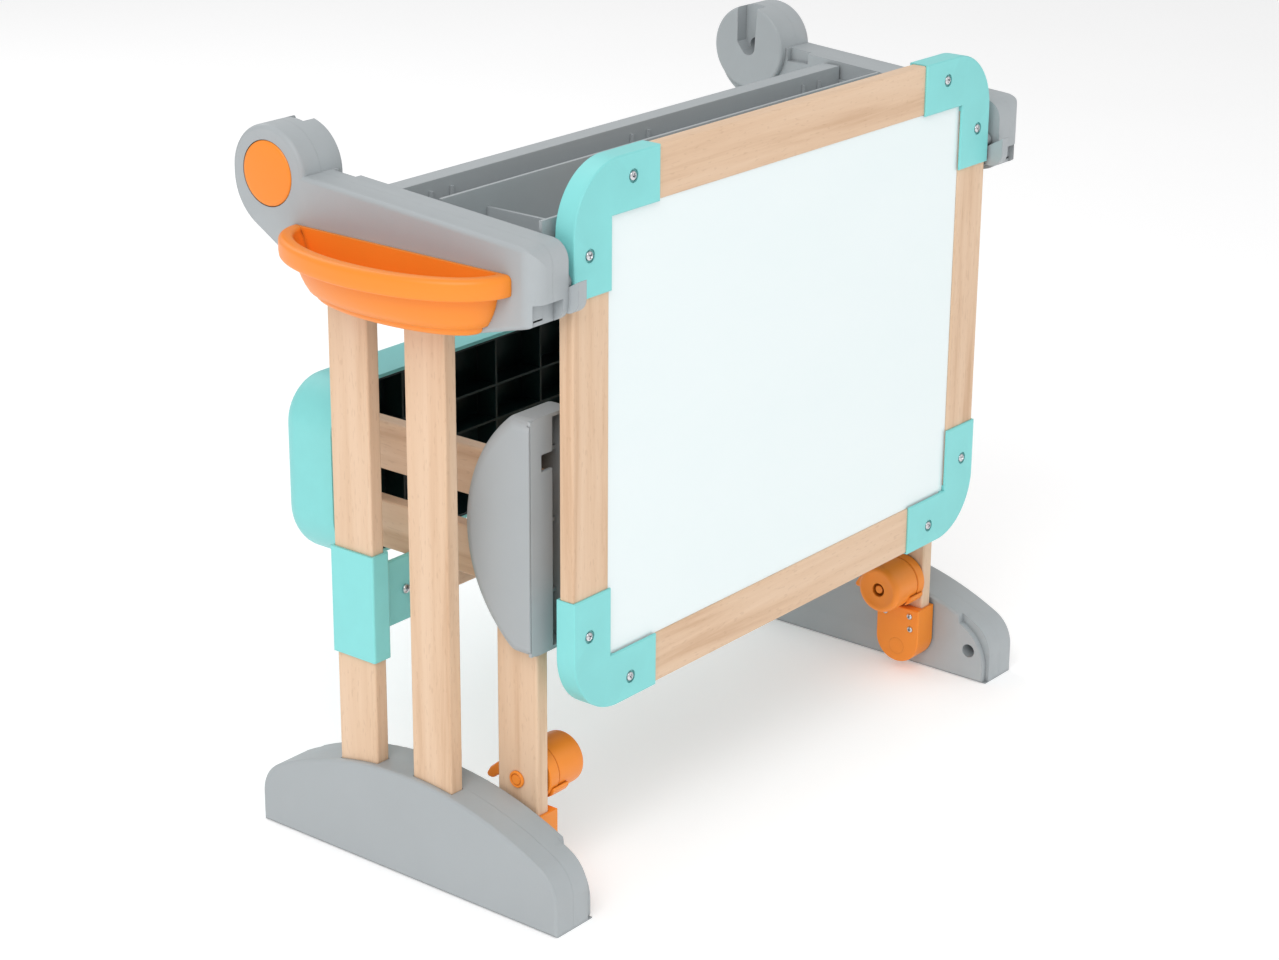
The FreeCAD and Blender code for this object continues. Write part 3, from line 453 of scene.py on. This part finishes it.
def basket_rows(floor, top):
    """(inset, height, gap between back and arm) of each ring: up outside, over the rim, down inside."""
    under_rim = top - RIM_HIGH
    foot = RIM_WIDE + BOWL_TAPER
    # rounded lower edge, then the outer wall, which bulges a little
    rows = [(foot + 8 * MM * (1 - sind(a)) - 1.2 * MM, floor + 6 * MM * (1 - cosd(a)), 0)
            for a in range(0, 91, 15)]
    rows += [(RIM_WIDE + BOWL_TAPER * (1 - t) - 3.2 * MM * math.sin(math.pi * t),
              floor + (under_rim - floor) * t, 0) for t in (0.25, 0.4, 0.55, 0.7, 0.85, 0.96)]
    # underside and outer face of the rim
    rows += [(RIM_WIDE - 1.2 * MM, under_rim - 0.4 * MM, 0), (RIM_WIDE - 2.5 * MM, under_rim + 0.2 * MM, 0),
             (3.0 * MM, under_rim, 0), (1.2 * MM, under_rim + 0.5 * MM, 0),
             (0.4 * MM, under_rim + 1.6 * MM, 0), (0.0, under_rim + 5 * MM, 0)]
    outer_roll, inner_roll, floor_round = 4.6 * MM, 3.4 * MM, 7 * MM
    rows += [(outer_roll * (1 - cosd(a)), top - outer_roll * (1 - sind(a)), 0) for a in range(0, 91, 15)]
    rows += [(RIM_WIDE - 3.6 * MM + inner_roll * sind(a), top - inner_roll * (1 - cosd(a)), BASKET_WALL)
             for a in range(0, 91, 18)]
    # inner wall and the rounding into the floor
    wall_top, wall_end = top - 4 * MM, floor + BASKET_WALL + floor_round
    rows += [(RIM_WIDE + 1.5 * MM + (BOWL_TAPER - 3 * MM) * t ** 1.3,
              wall_top + (wall_end - wall_top) * t, BASKET_WALL) for t in (0.12, 0.3, 0.5, 0.7, 0.85)]
    rows += [(foot - 1.5 * MM + floor_round * (1 - cosd(a)),
              floor + BASKET_WALL + floor_round * (1 - sind(a)), BASKET_WALL) for a in range(0, 91, 18)]
    return rows


def basket(side, sign):
    """Half-oval bowl with a rolled rim, flat against the arm."""
    name = f"basket_{side}"
    low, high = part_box(name)
    half, deep, middle = (high.y - low.y) / 2, high.x - low.x, (low.y + high.y) / 2
    flat = low.x if sign > 0 else high.x
    curve_steps, back_steps = 48, 16
    rings = []
    for inset, z, back in basket_rows(low.z, high.z):
        ring = []
        for i in range(curve_steps + 1):
            angle = math.pi * i / curve_steps
            out = max((deep - inset) * math.sin(angle), back)
            ring.append(Vector((flat + sign * out, middle - (half - inset) * math.cos(angle), z)))
        for i in range(1, back_steps):
            along = (half - inset) * (1 - 2 * i / back_steps)
            ring.append(Vector((flat + sign * back, middle + along, z)))
        rings.append(ring)
    bm = bmesh.new()
    bridge_rings(bm, rings)
    bmesh.ops.remove_doubles(bm, verts=bm.verts[:], dist=1e-6)
    settle(to_object(f"{name}_bowl", bm, limit=42), name)


# ---------------------------------------------------------------- latches
BORE = 5.1 * MM


def latch_drum(origin, radius, inner, length, out):
    """Knob with a recessed face, an open bore, and a flange at its end next to the link arm."""
    def at(depth):
        """Place along X, measured in millimetres from the inner face towards the arm."""
        return inner + out * depth * MM
    flange = length - 11.5
    profile = [(BORE, at(8.0)), (6.4 * MM, at(6.5)), (6.4 * MM, at(1.2)), (6.9 * MM, at(0.7)),
               (radius - 7.5 * MM, at(0.6)), (radius - 6.6 * MM, at(0.0))]
    profile += [(radius - 5.4 * MM + 4.6 * MM * sind(a), at(5.0 - 5.0 * cosd(a))) for a in range(10, 91, 16)]
    profile += [(radius - 0.7 * MM, at(9)), (radius - 0.6 * MM, at(flange - 0.4)),
                (radius - 1.3 * MM, at(flange)), (radius - 1.3 * MM, at(flange + 0.8)),
                (radius - 0.1 * MM, at(flange + 1.2)), (radius, at(flange + 1.8)),
                (radius, at(length - 0.8)), (radius - 0.8 * MM, at(length)), (BORE, at(length))]
    steps = 80
    bm = bmesh.new()
    lathe(bm, 0, origin, profile, steps)
    # the first and last rings are the bore's two ends, so their caps give way to a tube between them
    bm.faces.ensure_lookup_table()
    for face in [f for f in bm.faces if len(f.verts) == steps]:
        bm.faces.remove(face)
    rings = [[v for v in bm.verts
              if abs((v.co - origin).yz.length - BORE) < 1e-6 and abs(v.co.x - x) < 1e-6]
             for x in (at(8.0), at(length))]
    for ring in rings:
        ring.sort(key=lambda v: math.atan2(v.co.z - origin.z, v.co.y - origin.y))
    for i in range(steps):
        j = (i + 1) % steps
        bm.faces.new((rings[0][i], rings[0][j], rings[1][j], rings[1][i]))
    return bm


def latch(side, sign):
    """Drum, a slim hook that leaves its flange to the rear, and a short stepped tab at the front."""
    name = f"latch_{side}"
    low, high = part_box(name)
    axle_low, axle_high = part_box(f"latch_axle_{side}")
    axis_y, axis_z = (axle_low.y + axle_high.y) / 2, (axle_low.z + axle_high.z) / 2
    radius = axis_y - low.y
    inner, arm = (low.x, high.x) if sign > 0 else (high.x, low.x)
    length = abs(arm - inner) / MM
    drum = latch_drum(Vector((0, axis_y, axis_z)), radius, inner, length, sign)
    settle(to_object(f"{name}_drum", drum, limit=40), name)

    # hook and tab outlines are millimetres from the axis
    reach, front = (high.y - axis_y) / MM, -radius / MM
    hook = [(12, 17.5), (22, 9), (33, 0.5), (reach - 5, -8), (reach - 1, -14.5), (reach - 2.5, -17.5),
            (reach - 8, -17.5), (35, -13), (26, -12), (22, -14.5), (12, -18)]
    tab = [(front + 3.5, -9), (front - 0.2, -8.2), (front - 0.3, -11.5), (front + 2.5, -15.5),
           (front + 8, -19)]
    for part, outline, near, far, edge, segments in (("hook", hook, 13.5, 0.3, 1.8, 3),
                                                     ("tab", tab, 22, 3, 0.8, 2)):
        bm = bmesh.new()
        slab(bm, [(axis_y + y * MM, axis_z + z * MM) for y, z in outline],
             arm - sign * near * MM, arm - sign * far * MM)
        settle(to_object(f"{name}_{part}", bm, edge * MM, segments), name, stands_in=False)


def latch_axle(side, sign):
    """Shouldered axle: a plain end in the drum's recess, a pipped cap on the link arm's outer face."""
    name = f"latch_axle_{side}"
    low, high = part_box(name)
    cap_radius = (high.y - low.y) / 2
    inner, outer = (low.x, high.x) if sign > 0 else (high.x, low.x)
    cap = outer - sign * 2.3 * MM
    profile = [(3.2 * MM, inner), (3.9 * MM, inner + sign * 0.5 * MM), (3.9 * MM, inner + sign * 4 * MM),
               (5.0 * MM, inner + sign * 5 * MM), (5.0 * MM, cap), (cap_radius - 0.3 * MM, cap),
               (cap_radius, cap + sign * 0.4 * MM), (cap_radius - 0.2 * MM, outer - sign * 0.5 * MM),
               (cap_radius - 0.8 * MM, outer), (cap_radius - 1.9 * MM, outer),
               (cap_radius - 2.3 * MM, outer - sign * 0.9 * MM),
               (cap_radius - 2.7 * MM, outer - sign * 0.9 * MM),
               (cap_radius - 3.1 * MM, outer - sign * 0.1 * MM)]
    bm = bmesh.new()
    lathe(bm, 0, Vector((0, (low.y + high.y) / 2, (low.z + high.z) / 2)), profile, 64)
    settle(to_object(f"{name}_turned", bm, limit=32), name)


screw_set("board_corner_screws", to_front, 3.9 * MM, 1.2 * MM)
screw_set("bench_screws", to_middle, 2.9 * MM, 0.4 * MM)
screw_set("rail_bracket_screws", to_front, 4.0 * MM, 1.0 * MM)
screw_set("foot_screws", to_middle, 3.8 * MM, 1.0 * MM)
for side, sign in (("left", -1), ("right", 1)):
    latch_axle(side, sign)
    head_button(side, sign)
    basket(side, sign)
    latch(side, sign)


# ---------------------------------------------------------------- stage, light, camera
def studio():
    """White floor, even surroundings, a soft key from the front left, a weak fill and a soft back light."""
    reach = 6.0
    floor_mesh = bpy.data.meshes.new("floor")
    floor_mesh.from_pydata([(-reach, -reach, 0), (reach, -reach, 0), (reach, reach, 0), (-reach, reach, 0)],
                           [], [(0, 1, 2, 3)])
    floor = bpy.data.objects.new("floor", floor_mesh)
    bpy.context.collection.objects.link(floor)
    s = Shader("floor_paper")
    tone = s.noise(s.place(), 3.0, 3.0)
    s.set(Base_Color=s.mix(tone, (0.95, 0.95, 0.952, 1), (0.97, 0.97, 0.972, 1)), Roughness=0.75,
          Emission_Color=(1.0, 1.0, 1.0, 1.0), Emission_Strength=0.22)
    floor_mesh.materials.append(s.material)

    world = bpy.data.worlds.new("studio")
    world.use_nodes = True
    background = world.node_tree.nodes["Background"]
    background.inputs["Color"].default_value = (1.0, 1.0, 1.0, 1.0)
    background.inputs["Strength"].default_value = 0.61
    bpy.context.scene.world = world
    bpy.context.scene.view_settings.view_transform = "Standard"

    target = Vector((0.0, 0.0, 0.3))
    for name, place, size, power in (("key", (-2.4, -1.2, 2.8), 2.2, 54.0),
                                     ("fill", (1.6, -2.6, 1.8), 2.2, 7.0),
                                     ("back", (0.5, 2.6, 2.4), 2.0, 20.0)):
        light = bpy.data.lights.new(name, "AREA")
        light.size, light.energy = size, power
        lamp = bpy.data.objects.new(name, light)
        lamp.location = place
        lamp.rotation_euler = (target - Vector(place)).to_track_quat("-Z", "Y").to_euler()
        bpy.context.collection.objects.link(lamp)


def camera():
    """Three-quarter view from the front left, from about 1.1 m up."""
    azimuth, elevation, roll = -51.451, 20.34, 0.416
    back = Vector((sind(azimuth) * cosd(elevation), -cosd(azimuth) * cosd(elevation), sind(elevation)))
    level_right = (-back).cross(Vector((0, 0, 1))).normalized()
    level_up = level_right.cross(-back)
    right = level_right * cosd(roll) + level_up * sind(roll)
    up = level_up * cosd(roll) - level_right * sind(roll)
    data = bpy.data.cameras.new("camera")
    data.lens, data.sensor_width = 80.76, 36.0
    cam = bpy.data.objects.new("camera", data)
    turn = Matrix((right, up, back)).transposed()
    cam.matrix_world = Matrix.Translation((-1.8595, -1.46525, 1.1270)) @ turn.to_4x4()
    bpy.context.collection.objects.link(cam)
    bpy.context.scene.camera = cam


studio()
camera()
